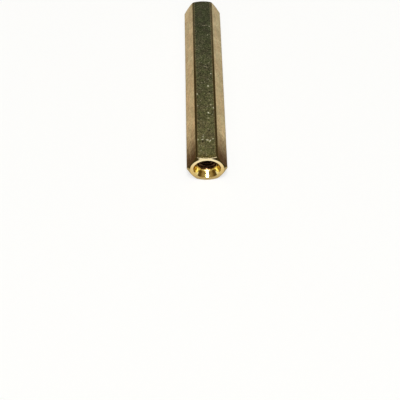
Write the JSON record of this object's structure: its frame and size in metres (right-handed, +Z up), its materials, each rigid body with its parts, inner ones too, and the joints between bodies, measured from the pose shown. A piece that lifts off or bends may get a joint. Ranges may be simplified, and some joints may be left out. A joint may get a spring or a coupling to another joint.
{
  "type": "hex standoff",
  "caption": "Long hexagonal brass spacer with a tapped, countersunk blind hole in each end, shown lying on a flat.",
  "frame": {"origin": "middle of the flat that it lies on: the centre of its footprint, at the surface it rests on", "axes": "+Z up out of the top flat, Y along the bar and its holes, X across the two side corners"},
  "size_m": [0.0062, 0.035, 0.0055],
  "materials": {
    "brass": "drawn and turned, lightly tarnished"
  },
  "bodies": {
    "root": {"hex_standoff": "brass"}
  },
  "joints": []
}
